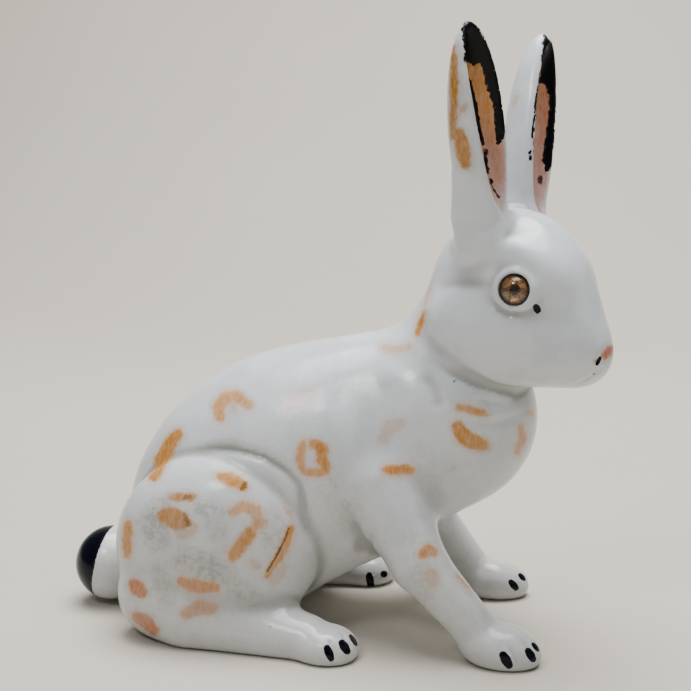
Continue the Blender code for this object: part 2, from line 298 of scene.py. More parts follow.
def distance_to(lump, points):
    """About how far each point is outside the lump, below zero inside it.

    An egg: with q the point over the radii and s the point over their squares, |q| (|q| - 1) / |s|.
    A roll: the distance to the nearest place on its axis, less the radius there.
    """
    if lump["kind"] == "egg":
        local = (points - lump["at"]) @ lump["axes"]
        reach = np.linalg.norm(local / lump["radii"], axis=1)
        slope = np.linalg.norm(local / lump["radii"] ** 2, axis=1)
        return reach * (reach - 1.0) / np.maximum(slope, 1e-6)
    along = lump["end"] - lump["start"]
    share = np.clip((points - lump["start"]) @ along / (along @ along), 0.0, 1.0)
    nearest = lump["start"] + share[:, None] * along
    start_radius, end_radius = lump["radii"]
    return np.linalg.norm(points - nearest, axis=1) - start_radius - (end_radius - start_radius) * share


def worked_together(first, second, soft):
    """The smaller of two distances, less a sixth of the softness times the cube of how near they are."""
    near = np.maximum(soft - np.abs(first - second), 0.0) / soft
    return np.minimum(first, second) - near**3 * soft / 6.0


def scooped_out(whole, hollow, soft):
    """The outside of a hollow cut into the whole, with its edge rounded off."""
    return -worked_together(-whole, hollow, soft)


def blended(groups, points):
    """The figure with no eyes, sockets or hollows: all groups pressed together."""
    whole = None
    for join_soft, lumps in groups:
        group = distance_to(lumps[0], points)
        for lump in lumps[1:]:
            blend = scooped_out if lump["pared"] else worked_together
            group = blend(group, distance_to(lump, points), lump["soft"])
        whole = group if whole is None else worked_together(whole, group, join_soft)
    return whole


def eye_seats(groups):
    """For each side: where the eye's axis leaves the skin, and the eye's axes as matrix columns."""
    seats = {}
    for side, sign in (("right", -1.0), ("left", 1.0)):
        swing = math.radians(EYE_SWING)
        tip = math.radians(EYE_TIP_UP)
        level = math.cos(tip)
        sideways = sign * math.cos(swing) * level
        outward = HEAD_AXES @ np.array((math.sin(swing) * level, sideways, math.sin(tip)))
        start = HEAD_PIVOT + HEAD_AXES @ np.array((EYE_FORWARD, 0.0, EYE_UP))
        reach = np.linspace(0.0, SEAT_REACH, SEAT_PLACES)
        inside = blended(groups, start + reach[:, None] * outward) < 0.0
        across = np.cross(np.array((0.0, 0.0, 1.0)), outward)
        across /= np.linalg.norm(across)
        axes = np.stack([across, np.cross(outward, across), outward], axis=1)
        seats[side] = (start + reach[np.argmin(inside)] * outward, axes)
    return seats


def lid_mound(seat):
    """The low mound of clay round an eye."""
    place, axes = seat
    radius = EYE_DIAMETER / 2 / PART
    mound = egg(place - axes[:, 2] * LID_BURY * radius, radius * np.array(LID_RADII), soft=LID_MOUND_SOFT)
    mound["axes"] = axes
    return mound


def socket_distance(seat, points):
    """The pocket for the glass: the larger of how far a point is past its wall and past its floor."""
    place, axes = seat
    local = (points - place) @ axes
    floor = (EYE_STANDS_PROUD - EYE_DOME_HEIGHT - EYE_EDGE_THICKNESS - EYE_CLEARANCE) / PART
    wall = (EYE_DIAMETER / 2 + EYE_CLEARANCE) / PART
    return np.maximum(np.hypot(local[:, 0], local[:, 1]) - wall, floor - local[:, 2])


GROUPS = lump_groups()
SEATS = eye_seats(GROUPS)
GROUPS.append((LID_SOFT, [lid_mound(seat) for seat in SEATS.values()]))
HOLLOWS = ear_hollows()


def form(points):
    """About how far each point is outside the finished clay, in parts."""
    whole = blended(GROUPS, points)
    for seat in SEATS.values():
        whole = scooped_out(whole, socket_distance(seat, points), SOCKET_EDGE_SOFT)
    for hollow in HOLLOWS:
        whole = scooped_out(whole, distance_to(hollow, points), HOLLOW_EDGE_SOFT)
    return scooped_out(whole, points[:, 2], SOLE_EDGE_SOFT)


def form_slope(points):
    """The gradient of the form, by central differences."""
    sides = []
    for axis in range(3):
        shift = np.zeros(3)
        shift[axis] = SLOPE_STEP
        sides.append((form(points + shift) - form(points - shift)) / (2 * SLOPE_STEP))
    return np.stack(sides, axis=1)


def pressed(points, rounds):
    """Points moved until they lie on the form: each round, less slope times distance over slope squared."""
    for _ in range(rounds):
        slope = form_slope(points)
        gap = form(points) / np.maximum((slope**2).sum(1), LEAST_SLOPE)
        points = points - slope * np.clip(gap, -LONGEST_MOVE, LONGEST_MOVE)[:, None]
    return points


def relaxed(points, edges, rounds):
    """Each point moved halfway to the mean of its neighbours, a number of times."""
    count = np.bincount(edges.ravel(), minlength=len(points))
    for _ in range(rounds):
        total = np.zeros_like(points)
        for axis in range(3):
            total[:, axis] = np.bincount(edges[:, 0], points[edges[:, 1], axis], len(points))
            total[:, axis] += np.bincount(edges[:, 1], points[edges[:, 0], axis], len(points))
        points = 0.5 * points + 0.5 * total / np.maximum(count, 1)[:, None]
    return points


# The skin.


def read_points(mesh):
    points = np.empty(len(mesh.vertices) * 3)
    mesh.vertices.foreach_get("co", points)
    return points.reshape(-1, 3)


def read_edges(mesh):
    edges = np.empty(len(mesh.edges) * 2, np.int32)
    mesh.edges.foreach_get("vertices", edges)
    return edges.reshape(-1, 2)


def write_points(mesh, points):
    mesh.vertices.foreach_set("co", points.ravel())
    mesh.update()


def to_parts(points):
    return (points - SHIFT) / PART


def to_metres(points):
    return points * PART + SHIFT


def baked(obj):
    """A new mesh of the object as its modifiers leave it."""
    graph = bpy.context.evaluated_depsgraph_get()
    return bpy.data.meshes.new_from_object(obj.evaluated_get(graph))


def even_skin(name):
    """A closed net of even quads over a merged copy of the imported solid."""
    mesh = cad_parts["rabbit"].data.copy()
    work = bmesh.new()
    work.from_mesh(mesh)
    bmesh.ops.remove_doubles(work, verts=work.verts, dist=1e-6)
    work.to_mesh(mesh)
    work.free()
    skin = bpy.data.objects.new(name, mesh)
    bpy.context.scene.collection.objects.link(skin)
    netting = skin.modifiers.new("netting", "REMESH")
    netting.mode = "VOXEL"
    netting.voxel_size = SKIN_SPACING
    skin.data = baked(skin)
    skin.modifiers.clear()
    skin.data.materials.clear()
    return skin


def halve_spacing(mesh, centres):
    """Cuts each edge in two whose ends both lie within the reach of one of the centres."""
    points = read_points(mesh)
    near = np.zeros(len(points), bool)
    for centre in centres:
        near |= np.linalg.norm(points - centre, axis=1) < FINE_REACH
    chosen = np.flatnonzero(near[read_edges(mesh)].all(axis=1))
    work = bmesh.new()
    work.from_mesh(mesh)
    work.edges.ensure_lookup_table()
    cut = [work.edges[index] for index in chosen]
    bmesh.ops.subdivide_edges(work, edges=cut, cuts=1, use_grid_fill=True)
    bmesh.ops.triangulate(work, faces=[face for face in work.faces if len(face.verts) > 4])
    work.to_mesh(mesh)
    work.free()


def shape_skin(skin):
    """Presses the net onto the clay, and again where it is made finer."""
    mesh = skin.data
    points = to_parts(read_points(mesh))
    for _ in range(2):
        points = pressed(relaxed(points, read_edges(mesh), EVEN_ROUNDS), PRESS_ROUNDS)
    write_points(mesh, to_metres(points))
    fine = [to_metres(place) for place, _ in SEATS.values()]
    fine += [to_metres(HEAD_PIVOT + HEAD_AXES @ np.array(NOSE))]
    fine += [to_metres(np.array(toe) * side) for toe in TOES for side in (1.0, MIRROR)]
    fine += [to_metres(np.array(SCRATCH))]
    for hollow in HOLLOWS:
        top = hollow["axes"][:, 2] * hollow["radii"][2]
        fine += [to_metres(hollow["at"] + top * share) for share in ALONG_EAR]
    halve_spacing(mesh, fine)
    points = to_parts(read_points(mesh))
    points = pressed(relaxed(points, read_edges(mesh), FINE_EVEN_ROUNDS), PRESS_ROUNDS)
    write_points(mesh, to_metres(points))
    mesh.shade_smooth()


# The photograph's view, by which folds and paint are placed on the skin.


def camera_axes():
    """The lens' place and its right, up and forward directions, in metres in the lumps' frame."""
    azimuth = math.radians(CAMERA_AZIMUTH)
    back = np.array((math.sin(azimuth), -math.cos(azimuth), 0.0))
    right = np.array((math.cos(azimuth), math.sin(azimuth), 0.0))
    lens = back * CAMERA_DISTANCE + np.array((0.0, 0.0, CAMERA_HEIGHT))
    forward = np.array((0.0, 0.0, AIM_HEIGHT)) - lens
    forward /= np.linalg.norm(forward)
    return lens, right, np.cross(right, forward), forward


class Skin:
    """The finished skin's points and normals, and a tree that finds where a line of sight meets it."""

    def __init__(self, mesh):
        self.points = read_points(mesh)
        normals = np.empty(len(mesh.vertices) * 3)
        mesh.vertices.foreach_get("normal", normals)
        self.normals = normals.reshape(-1, 3)
        work = bmesh.new()
        work.from_mesh(mesh)
        self.tree = BVHTree.FromBMesh(work)
        work.free()

    def seen_at(self, pixel):
        """Place and normal of the skin at a pixel of the photograph, right and down from its corner."""
        lens, right, up, forward = camera_axes()
        across, down = (np.array(pixel) - IMAGE / 2) / LENS_PIXELS
        sight = forward + across * right - down * up
        place, normal, _, _ = self.tree.ray_cast(Vector(lens + SHIFT), Vector(sight))
        if place is None:
            return None
        return np.array(place), np.array(normal)


def distance_to_line(points, places):
    """Distance from each point to a broken line, and the share of the line's length at the nearest place."""
    if len(places) == 1:
        return np.linalg.norm(points - places[0], axis=1), np.zeros(len(points))
    nearest = np.full(len(points), np.inf)
    share = np.zeros(len(points))
    lengths = np.linalg.norm(np.diff(places, axis=0), axis=1)
    total = lengths.sum()
    passed = 0.0
    for start, end, length in zip(places[:-1], places[1:], lengths):
        along = end - start
        part = np.clip((points - start) @ along / max(along @ along, 1e-12), 0.0, 1.0)
        away = np.linalg.norm(points - start - part[:, None] * along, axis=1)
        closer = away < nearest
        nearest = np.where(closer, away, nearest)
        share = np.where(closer, (passed + part * length) / max(total, 1e-9), share)
        passed += length
    return nearest, share


def pixels_of(places):
    """Where the photograph shows each place, in pixels, and the metres that a pixel spans there."""
    lens, right, up, forward = camera_axes()
    from_lens = places - SHIFT - lens
    depth = from_lens @ forward
    middle = IMAGE / 2
    across = middle + LENS_PIXELS * (from_lens @ right) / depth
    down = middle - LENS_PIXELS * (from_lens @ up) / depth
    return np.stack([across, down], axis=1), depth / LENS_PIXELS


def other_side(places, limb):
    """The same places on the far side, mirrored in the head's plane or the body's; a paw is also set back."""
    if limb == "head":
        local = (to_parts(places) - HEAD_PIVOT) @ HEAD_AXES
        return to_metres(HEAD_PIVOT + (local * MIRROR) @ HEAD_AXES.T)
    if limb == "paw":
        return places * MIRROR - np.array((2 * PAW_STAGGER * PART, 0.0, 0.0))
    return places * MIRROR


def other_normal(normal, limb):
    """A direction mirrored in the head's plane or the body's."""
    if limb == "head":
        return ((normal @ HEAD_AXES) * MIRROR) @ HEAD_AXES.T
    return normal * MIRROR


# Lines that are pressed in or raised: the limb, the depth and half width in mm, and the pixels they run
# through. Those on "body", "head" and "paw" are worked on the far side too.
LINES = (
    # The crease over the haunch, its sharp bottom, and the scratch down the haunch's front.
    (
        "body", -1.3, 2.4,
        ((193, 452), (215, 447), (233, 448), (266, 458), (287, 471), (299, 485), (304, 505), (307, 530)),
    ),
    ("body", -0.8, 1.1, ((206, 449), (220, 448), (240, 449), (262, 456), (280, 466), (292, 478))),
    ("near", -0.5, 0.7, ((289, 528), (284, 541), (276, 557), (266, 573))),
    # Folds of the jaw, the throat and the chest.
    ("head", -1.0, 2.2, ((430, 362), (455, 375), (480, 384), (510, 392), (533, 395))),
    ("body", -0.8, 2.2, ((472, 398), (492, 404), (512, 404), (528, 398))),
    ("body", -0.7, 2.2, ((458, 418), (470, 423), (490, 424), (510, 419), (525, 410))),
    # The shoulder's edge and the hollow before it.
    ("body", 0.7, 4.5, ((380, 366), (400, 378), (415, 392), (412, 415), (402, 430))),
    ("body", -0.9, 4.5, ((424, 372), (436, 392), (440, 412))),
    # Wrinkles behind the elbow.
    ("body", -0.9, 2.2, ((352, 520), (362, 538), (358, 556))),
    ("body", -0.8, 2.0, ((374, 528), (370, 545), (376, 556))),
    # Ribs, faintly.
    ("body", 0.35, 4.0, ((330, 400), (322, 430), (318, 455))),
    ("body", 0.35, 4.0, ((352, 395), (345, 425), (342, 455))),
    # Toes.
    ("body", -0.8, 1.2, ((335, 660), (333, 650), (328, 639))),
    ("body", -0.8, 1.2, ((350, 650), (346, 640), (340, 631))),
    ("paw", -0.8, 1.2, ((518, 667), (514, 656), (507, 645))),
    ("paw", -0.8, 1.2, ((532, 658), (528, 648), (521, 638))),
    # Brow, the fold before it, the cheek below it, the lower lid, the nostril and the mouth.
    ("head", 1.3, 4.5, ((448, 262), (468, 257), (490, 250), (512, 246), (535, 254))),
    ("head", -0.6, 3.0, ((490, 268), (503, 263), (520, 264), (533, 272), (540, 284))),
    ("head", -0.45, 2.6, ((440, 285), (460, 284), (480, 283), (493, 285))),
    ("head", 0.45, 4.5, ((440, 298), (465, 299), (485, 300))),
    ("head", -0.6, 1.6, ((495, 304), (501, 311), (510, 315), (521, 314))),
    ("head", -1.1, 1.5, ((595, 363), (598, 359))),
    ("head", -0.5, 1.0, ((604, 367), (594, 374), (583, 381), (571, 386))),
    # Where the ear grows out of the skull: a fold, and below it the skin drawn up to fill its step.
    ("head", 1.3, 4.5, ((452, 236), (470, 243), (490, 240), (504, 226))),
    ("head", -0.5, 1.5, ((458, 222), (470, 229), (484, 229), (499, 221))),
)

# The part of a line at each end over which it runs out, and the share of its depth left there, and how
# steeply it fades on skin that faces away.
LINE_END = 0.2
LINE_END_DEPTH = 0.2
FACING_STEEPNESS = 3.0

# How far along an eye's axis its rings reach, in its radii, and the cosine of the angle from the lids'
# forward direction within which only what is left over of them remains.
RING_REACH = 1.2
RING_ENDS = 0.6

# How far beyond a dab its points are looked for, in metres; the cosine between a dab's normal and the
# skin's below which the paint shrinks, and the metres that it then loses for a cosine of one; and how
# much narrower a dab's ends are than its middle.
DAB_MARGIN = 0.008
DAB_FACING = 0.2
DAB_LOSS = 0.03
DAB_SWELL = 0.2

# Dabs of yellow and orange paint: the limb, the half width in pixels, the tint from ochre (0) over
# orange to a reddish pink (1), the strength, and the pixels they run through.
DABS = (
    # Rump and back.
    ("body", 7.5, 0.45, 0.85, ((220, 417), (218, 407), (227, 397), (238, 397), (248, 405))),
    ("near", 5.5, 0.70, 0.45, ((232, 402), (234, 410))),
    ("body", 8.0, 0.30, 1.00, ((154, 476), (162, 459), (170, 444), (178, 434))),
    ("body", 9.0, 0.60, 0.30, ((285, 406), (297, 400), (310, 393))),
    ("body", 5.5, 0.55, 0.50, ((381, 347), (395, 350), (409, 347))),
    # Haunch.
    ("near", 8.0, 0.30, 1.00, ((222, 477), (233, 480), (243, 486))),
    ("body", 5.5, 0.15, 0.90, ((171, 497), (182, 497), (194, 497))),
    ("body", 11.5, 0.20, 0.90, ((166, 516), (176, 519), (185, 526))),
    ("near", 9.0, 0.25, 0.45, ((182, 534), (192, 528))),
    ("body", 7.0, 0.45, 0.75, ((233, 512), (243, 506), (255, 511), (259, 522), (252, 532))),
    ("body", 8.0, 0.35, 0.95, ((252, 531), (241, 545), (233, 556))),
    ("near", 5.8, 0.45, 0.95, ((291, 528), (286, 543), (278, 559), (268, 575))),
    ("near", 8.0, 0.70, 0.35, ((282, 567), (273, 580))),
    ("near", 2.8, 0.60, 0.55, ((285, 507), (291, 517))),
    ("body", 6.0, 0.45, 1.00, ((128, 524), (127, 538), (127, 555))),
    ("near", 9.0, 0.85, 0.95, ((134, 585), (141, 592))),
    ("near", 8.0, 0.85, 0.95, ((137, 617), (146, 622), (153, 630))),
    ("body", 7.5, 0.65, 0.90, ((182, 582), (198, 587), (215, 588))),
    ("near", 8.5, 0.70, 0.70, ((186, 614), (198, 608), (212, 608))),
    ("near", 5.0, 0.80, 0.30, ((226, 546), (224, 552))),
    ("near", 5.0, 0.80, 0.40, ((252, 563), (258, 567))),
    # Flank.
    ("body", 5.5, 0.50, 0.85, ((303, 443), (300, 457), (303, 471))),
    ("body", 7.0, 0.35, 0.95, ((312, 443), (322, 448), (322, 460), (326, 469))),
    ("near", 5.5, 0.50, 0.85, ((305, 472), (316, 473), (326, 472))),
    ("near", 8.0, 0.40, 0.35, ((383, 438), (389, 427), (401, 423))),
    ("body", 6.5, 0.45, 0.95, ((386, 470), (398, 470), (411, 470))),
    # Nape, throat and chest.
    ("near", 3.8, 0.30, 1.00, ((417, 334), (421, 322), (424, 312))),
    ("near", 4.5, 0.50, 0.50, ((425, 304), (431, 284))),
    ("body", 5.0, 0.35, 0.90, ((458, 407), (470, 410), (485, 414))),
    ("body", 9.0, 0.25, 1.00, ((458, 427), (464, 437), (473, 442), (483, 445))),
    ("near", 5.0, 0.65, 0.75, ((521, 427), (523, 438), (517, 452))),
    ("near", 3.5, 0.55, 0.60, ((529, 412), (533, 415))),
    ("near", 3.0, 0.10, 0.35, ((450, 470), (455, 467))),
    # Forelegs.
    ("body", 7.0, 0.25, 0.90, ((422, 555), (428, 550), (433, 552))),
    ("near", 9.0, 0.50, 0.40, ((431, 574), (433, 582))),
    ("near", 3.2, 0.40, 0.75, ((458, 576), (465, 584), (473, 590))),
    # Painted shade: a faint ochre line in a crease of the far foreleg.
    ("near", 2.5, 0.10, 0.30, ((480, 567), (490, 572), (500, 570))),
    # Outside of the ears.
    ("head", 5.0, 0.00, 1.00, ((453, 48), (454, 75), (454, 105), (452, 138))),
    ("head", 8.6, 0.00, 1.00, ((459, 134), (463, 150), (465, 163))),
    ("head", 5.0, 0.10, 0.60, ((460, 112), (465, 106))),
    ("near", 3.0, 0.20, 0.45, ((513, 104), (518, 96))),
    # Nose.
    ("head", 5.6, 1.00, 1.00, ((604, 356), (608, 352), (611, 349))),
)

# Dabs of navy and black paint: the limb, the half width in pixels, how green it is, the strength, how
# dry the brush was, and the pixels.
INKS = (
    # The spot by the eye, the nostril and the mouth, and three stray flecks.
    ("head", 4.0, 0.0, 1.0, 0.0, ((536, 307), (538, 311))),
    ("head", 2.1, 0.0, 1.0, 0.0, ((600, 358), (597, 364))),
    ("head", 1.2, 0.0, 0.7, 0.0, ((594, 374),)),
    ("near", 1.6, 0.0, 0.9, 0.0, ((571, 385),)),
    ("near", 1.6, 0.0, 0.7, 0.0, ((454, 381),)),
    ("near", 1.6, 0.0, 0.9, 0.0, ((271, 627),)),
    # Claws of the near hind foot, the near paw, the far hind foot and the far paw.
    ("body", 4.3, 0.0, 1.0, 0.0, ((327, 648), (331, 658))),
    ("near", 4.6, 0.0, 1.0, 0.0, ((342, 643), (347, 651))),
    ("near", 2.8, 0.0, 1.0, 0.0, ((351, 636), (356, 644))),
    ("paw", 5.0, 0.0, 1.0, 0.0, ((503, 655), (509, 665))),
    ("near", 4.3, 0.0, 1.0, 0.0, ((528, 651), (533, 659))),
    ("near", 2.4, 0.0, 1.0, 0.0, ((533, 644), (538, 650))),
    ("near", 4.0, 0.0, 1.0, 0.0, ((369, 575), (371, 586))),
    ("near", 3.6, 0.0, 1.0, 0.0, ((384, 574), (387, 585))),
    ("near", 2.6, 0.0, 1.0, 0.0, ((520, 575), (524, 579))),
    ("near", 3.6, 0.0, 1.0, 0.0, ((511, 582), (516, 588))),
    # The scratch's dark line and the olive corners of some dabs.
    ("near", 1.1, 0.8, 0.7, 0.3, ((289, 528), (284, 541), (276, 557), (267, 572))),
    ("near", 2.6, 1.0, 0.50, 0.6, ((242, 489), (246, 483))),
    ("near", 3.0, 1.0, 0.40, 0.8, ((184, 516), (189, 525))),
    ("near", 2.4, 1.0, 0.40, 0.8, ((183, 498), (190, 496))),
    # Dry strokes down the rims of the ears' hollows.
    ("near", 2.2, 0.3, 1.0, 0.3, ((465, 58), (470, 84), (475, 104), (479, 128), (483, 144))),
    ("near", 2.5, 0.3, 1.0, 1.0, ((486, 150), (485, 161), (487, 172))),
    ("near", 1.8, 0.3, 1.0, 1.0, ((490, 180), (491, 184))),
    ("near", 1.0, 0.3, 1.0, 0.5, ((492, 186), (499, 198))),
    ("near", 1.2, 0.3, 1.0, 0.3, ((538, 84), (536, 100), (533, 128), (531, 144))),
    ("near", 2.0, 0.3, 1.0, 1.0, ((530, 152), (530, 159))),
    ("near", 2.2, 0.3, 0.9, 1.0, ((540, 177), (541, 184))),
)

# Grey smudges under the glaze and grey painted shade: the limb, half width in pixels, strength and pixels.
SMUDGES_AND_SHADE = (
    # The glaze's own grey marks on the haunch.
    ("body", 13.0, 0.8, ((160, 508), (152, 522), (158, 540))),
    ("body", 14.0, 0.9, ((185, 560), (205, 566), (225, 575))),
    ("body", 11.0, 0.7, ((200, 508), (215, 515), (218, 530))),
    ("body", 12.0, 0.7, ((236, 590), (252, 600))),
    ("near", 10.0, 0.6, ((272, 515), (270, 540))),
    ("near", 10.0, 0.6, ((160, 570), (165, 600))),
    # Painted shade: fainter grey on the flank, the back, a foreleg, the chest and low on the belly.
    ("body", 14.0, 0.35, ((330, 485), (345, 500), (350, 520))),
    ("near", 12.0, 0.20, ((320, 380), (345, 385), (380, 385))),
    ("body", 10.0, 0.25, ((412, 540), (425, 600), (440, 625))),
    ("near", 12.0, 0.20, ((420, 450), (430, 480), (425, 510))),
    ("near", 9.0, 0.3, ((300, 600), (310, 610))),
)

# What the skin's points keep: how far inside the edge of the warm paint and of the ink they lie, the
# tints and strengths there, the smudges and grey painted shade, and the painted shade in the folds. The
# distances are in mm and are kept up to the furthest, and a smudge fades over so many mm at its edge.
PAINT_LAYERS = (
    "spot", "spot_tint", "spot_strength", "ink", "ink_green", "ink_strength", "ink_dry", "smudge_and_shade", "fold_shade",
)
FURTHEST = 9.0
SMUDGE_AND_SHADE_FADE = 5.0

# The far edge of the navy paint on the tail, in parts: where it crosses the tail's top, the height of
# that place, how far it runs back for each part further down, and how far before it points are looked at.
TAIL_PAINT_TOP = -42.7
TAIL_TOP = 13.6
TAIL_PAINT_LEAN = 0.195
TAIL_MARGIN = 3.0

# The painted shade in the folds: the rounds of evening out that a point's depth is measured against,
# the rounds by which the shade is then spread, and the depth in mm at which it is full.
FOLD_SHADE_SPREAD = 24
FOLD_SHADE_BLUR = 3
FOLD_SHADE_DEPTH = 0.35

# The navy field in the hollow of each ear, right and left, as an outline of pixels.
EAR_NAVY = (
    (
        (466, 19), (462, 24), (462, 40), (466, 62), (473, 66), (480, 63), (483, 72), (487, 88), (492, 104),
        (494, 120), (495, 132), (496, 144), (499, 145), (504, 138), (509, 120), (507, 100), (500, 80),
        (494, 60), (486, 40), (476, 24),
    ),
    (
        (543, 31), (543, 36), (541, 66), (538, 84), (545, 84), (549, 96), (549, 108), (548, 118), (547, 128),
        (544, 140), (543, 150), (542, 158), (544, 166), (546, 174), (553, 166), (560, 146), (564, 120),
        (564, 95), (560, 66), (553, 45),
    ),
)

# The lining of the hollows: how far over the rim it reaches in parts, how much sharper than a dab's its
# edge is, and, down the photograph's pixels, its tint and its strength.
LINING_REACH = 0.20
LINING_SHARPNESS = 3.5
LINING_DOWN = (60, 110, 150, 182, 204)
LINING_TINTS = ((0.2, 0.5, 0.9, 1.0, 1.0), (0.85, 0.9, 0.95, 1.0, 0.9))
LINING_STRENGTHS = (1.0, 0.95, 0.82, 0.75, 0.5)

# How far round a hollow the ear's painting is looked for, in lengths of it and in parts from it, and
# the share of its length above which all of it is navy.
EAR_REACH = 1.3
EAR_SIDE_REACH = 2.6
EAR_NAVY_TOP = 0.68


def place_line(skin, limb, pixels):
    """The line on the near side and, unless it is there alone, on the far side: places, normal, seen or not.

    Pixels beside the rabbit are passed over.
    """
    found = [skin.seen_at(pixel) for pixel in pixels]
    found = [hit for hit in found if hit is not None]
    if not found:
        return []
    places = np.array([place for place, _ in found])
    normal = np.mean([normal for _, normal in found], axis=0)
    normal /= np.linalg.norm(normal)
    lines = [(places, normal, True)]
    if limb != "near":
        lines.append((other_side(places, limb), other_normal(normal, limb), False))
    return lines


def work_lines(mesh):
    """Presses the folds in and raises the ridges: depth times exp of less the square of distance over width.

    The skin is then kept within the solid's box.
    """
    skin = Skin(mesh)
    push = np.zeros(len(skin.points))
    for limb, depth, width, pixels in LINES:
        for places, normal, _ in place_line(skin, limb, pixels):
            away, share = distance_to_line(skin.points, places)
            ends = np.clip(np.minimum(share, 1.0 - share) / LINE_END, 0.0, 1.0)
            ends = LINE_END_DEPTH + (1.0 - LINE_END_DEPTH) * ends
            facing = np.clip(skin.normals @ normal * FACING_STEEPNESS, 0.0, 1.0)
            push += depth * ends * facing * np.exp(-((away * 1000.0 / width) ** 2))
    for place, axes in SEATS.values():
        local = (to_parts(skin.points) - place) @ axes * PART / EYE_DIAMETER * 2.0
        out = np.hypot(local[:, 0], local[:, 1])
        near = np.exp(-((local[:, 2] / RING_REACH) ** 4))
        onward = LID_FORWARD * np.array((np.sign(axes[:, 0] @ HEAD_AXES[:, 0]), 1.0))
        forward = local[:, :2] @ onward / np.maximum(out, 1e-6)
        for ring, height, width, left_over in LID_RINGS:
            share = left_over + (1.0 - left_over) * np.clip(RING_ENDS - forward, 0.0, 1.0)
            away = (out - ring) * EYE_DIAMETER / 2 * 1000.0 / width
            push += height * share * near * np.exp(-(away**2))
    points = skin.points + skin.normals * push[:, None] / 1000.0
    lowest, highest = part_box("rabbit")
    write_points(mesh, np.clip(points, np.array(lowest), np.array(highest)))


def inside_dab(skin, places, normal, seen, half_width):
    """The points near a dab of paint, and how many millimetres each lies inside its edge.

    Where the photograph shows the dab, the distance from its line is the longer of what the photograph
    shows and half the true one, so that paint on a face that turns away isn't drawn out.
    """
    pixels, pixel_size = pixels_of(places)
    size = pixel_size.mean()
    centre = places.mean(axis=0)
    reach = np.linalg.norm(places - centre, axis=1).max() + half_width * size * 2.0 + DAB_MARGIN
    near = np.flatnonzero(np.linalg.norm(skin.points - centre, axis=1) < reach)
    points = skin.points[near]
    away, share = distance_to_line(points, places)
    if seen:
        shown, share = distance_to_line(pixels_of(points)[0], pixels)
        away = np.maximum(shown * size, 0.5 * away)
    facing = skin.normals[near] @ normal
    away += np.maximum(DAB_FACING - facing, 0.0) * DAB_LOSS
    swell = 1.0
    if len(places) > 1:
        swell += DAB_SWELL * (np.sin(math.pi * share) - 1.0)
    return near, (half_width * size * swell - away) * 1000.0


def inside_outline(pixels, outline):
    """How many pixels each place lies inside a closed outline, below zero outside it."""
    corners = np.array(outline + outline[:1], float)
    away, _ = distance_to_line(pixels, corners)
    crossed = np.zeros(len(pixels), int)
    for start, end in zip(corners[:-1], corners[1:]):
        beside = (start[1] > pixels[:, 1]) != (end[1] > pixels[:, 1])
        share = (pixels[:, 1] - start[1]) / (end[1] - start[1] + 1e-9)
        crossed += beside & (pixels[:, 0] < start[0] + share * (end[0] - start[0]))
    return np.where(crossed % 2 == 1, away, -away)


def keep(mesh, name, values):
    """Stores one number for each point of the mesh."""
    layer = mesh.attributes.new(name, "FLOAT", "POINT")
    layer.data.foreach_set("value", np.asarray(values, np.float32))


def lay_on(paint, layer, near, inside, values):
    """Puts paint on where it lies further in from its edge than what is there, with its other numbers."""
    over = inside > paint[layer][near]
    paint[layer][near[over]] = inside[over]
    for name, value in values.items():
        paint[name][near[over]] = np.broadcast_to(value, len(near))[over]


def paint_ears(skin, paint):
    """The hollow of each ear: lined with orange and rose, and navy round the tip and down the inner side.

    The navy's outline is the photograph's. A wall that faces away from the lens is painted like its
    twin on the other side of the hollow.
    """
    parts = to_parts(skin.points)
    lens = camera_axes()[0] + SHIFT
    hidden = ((skin.points - lens) * skin.normals).sum(axis=1) > 0.0
    for hollow, outline, tints in zip(HOLLOWS, EAR_NAVY, LINING_TINTS):
        local = (parts - hollow["at"]) @ hollow["axes"]
        along = local[:, 2] / hollow["radii"][2]
        off = distance_to(hollow, parts)
        ear = np.flatnonzero((np.abs(along) < EAR_REACH) & (off < EAR_SIDE_REACH))
        twin = local[ear] * np.where(hidden[ear, None], MIRROR, 1.0)
        pixels, pixel_size = pixels_of(to_metres(hollow["at"] + twin @ hollow["axes"].T))
        lining = LINING_SHARPNESS * (LINING_REACH - off[ear]) / MM
        tint = np.interp(pixels[:, 1], LINING_DOWN, tints)
        strength = np.interp(pixels[:, 1], LINING_DOWN, LINING_STRENGTHS)
        lay_on(paint, "spot", ear, lining, {"spot_tint": tint, "spot_strength": strength})
        navy = inside_outline(pixels, outline) * pixel_size * 1000.0
        tip = np.minimum((along[ear] - EAR_NAVY_TOP) * hollow["radii"][2] / MM, lining)
        values = {"ink_green": 0.6, "ink_strength": 1.0, "ink_dry": 0.9}
        lay_on(paint, "ink", ear, np.maximum(navy, tip), values)


